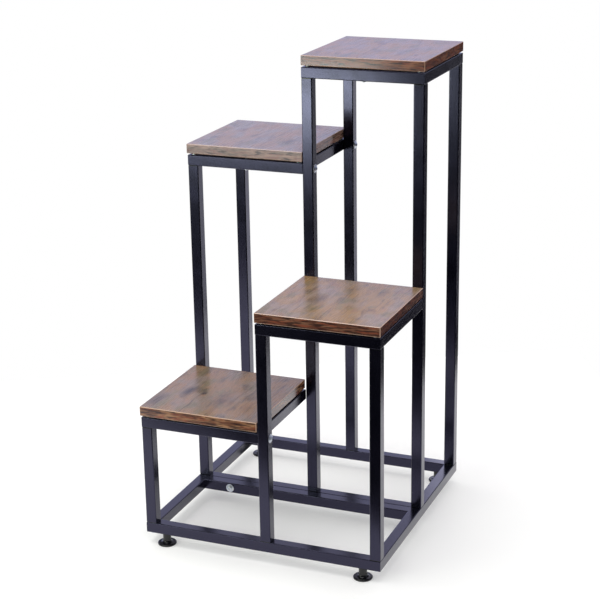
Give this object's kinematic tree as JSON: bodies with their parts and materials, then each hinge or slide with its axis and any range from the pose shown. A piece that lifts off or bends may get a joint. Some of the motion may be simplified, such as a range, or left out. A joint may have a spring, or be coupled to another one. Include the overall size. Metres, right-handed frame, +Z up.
{
  "type": "tiered plant stand",
  "caption": "Tiered plant stand: square wood-effect boards at stepped heights on a black square-tube frame with levelling feet.",
  "frame": {"origin": "on the floor, under the middle of the frame", "axes": "+Z up, +X to the right along the front, +Y to the back; the lower towers are at the front"},
  "size_m": [0.4585, 0.471, 0.878],
  "materials": {
    "black_steel": "semi-gloss black powder coat",
    "wood_board": "rustic brown wood-effect laminate, satin",
    "edge_band": "rustic brown edge banding, satin",
    "black_plastic": "moulded black plastic",
    "zinc_steel": "bright zinc plate",
    "clear_plastic": "clear soft plastic"
  },
  "bodies": {
    "frame": {"front_base_front_rail": "black_steel", "front_base_back_rail": "black_steel", "front_base_left_rail": "black_steel", "front_base_right_rail": "black_steel", "rear_base_front_rail": "black_steel", "rear_base_back_rail": "black_steel", "rear_base_left_rail": "black_steel", "rear_base_right_rail": "black_steel", "leg_front_left": "black_steel", "leg_front_middle": "black_steel", "leg_front_right": "black_steel", "leg_middle_left": "black_steel", "leg_centre": "black_steel", "leg_middle_right": "black_steel", "leg_back_left": "black_steel", "leg_back_middle": "black_steel", "leg_back_right": "black_steel", "tier_1_front_rail": "black_steel", "tier_1_back_rail": "black_steel", "tier_1_left_rail": "black_steel", "tier_1_right_rail": "black_steel", "tier_2_front_rail": "black_steel", "tier_2_back_rail": "black_steel", "tier_2_left_rail": "black_steel", "tier_2_right_rail": "black_steel", "tier_3_front_rail": "black_steel", "tier_3_back_rail": "black_steel", "tier_3_left_rail": "black_steel", "tier_3_right_rail": "black_steel", "tier_4_front_rail": "black_steel", "tier_4_back_rail": "black_steel", "tier_4_left_rail": "black_steel", "tier_4_right_rail": "black_steel", "tier_1_board": "wood_board", "tier_2_board": "wood_board", "tier_3_board": "wood_board", "tier_4_board": "wood_board", "tier_1_edge_band": "edge_band", "tier_2_edge_band": "edge_band", "tier_3_edge_band": "edge_band", "tier_4_edge_band": "edge_band", "foot_nuts": "zinc_steel", "leg_plugs": "black_plastic", "leg_bolts": "zinc_steel", "tower_bolts": "zinc_steel", "tower_nuts": "zinc_steel", "base_bolts": "zinc_steel", "base_nuts": "zinc_steel", "board_screws": "zinc_steel", "corner_pads": "clear_plastic"},
    "foot_front_left": {"foot_front_left": "black_plastic", "stud_front_left": "zinc_steel"},
    "foot_front_right": {"foot_front_right": "black_plastic", "stud_front_right": "zinc_steel"},
    "foot_back_left": {"foot_back_left": "black_plastic", "stud_back_left": "zinc_steel"},
    "foot_back_right": {"foot_back_right": "black_plastic", "stud_back_right": "zinc_steel"}
  },
  "joints": [
    {"name": "foot_front_left_height", "type": "slide", "parent": "frame", "child": "foot_front_left", "axis": [0, 0, -1], "range_m": [0, 0.01]},
    {"name": "foot_front_right_height", "type": "slide", "parent": "frame", "child": "foot_front_right", "axis": [0, 0, -1], "range_m": [0, 0.01]},
    {"name": "foot_back_left_height", "type": "slide", "parent": "frame", "child": "foot_back_left", "axis": [0, 0, -1], "range_m": [0, 0.01]},
    {"name": "foot_back_right_height", "type": "slide", "parent": "frame", "child": "foot_back_right", "axis": [0, 0, -1], "range_m": [0, 0.01]}
  ]
}
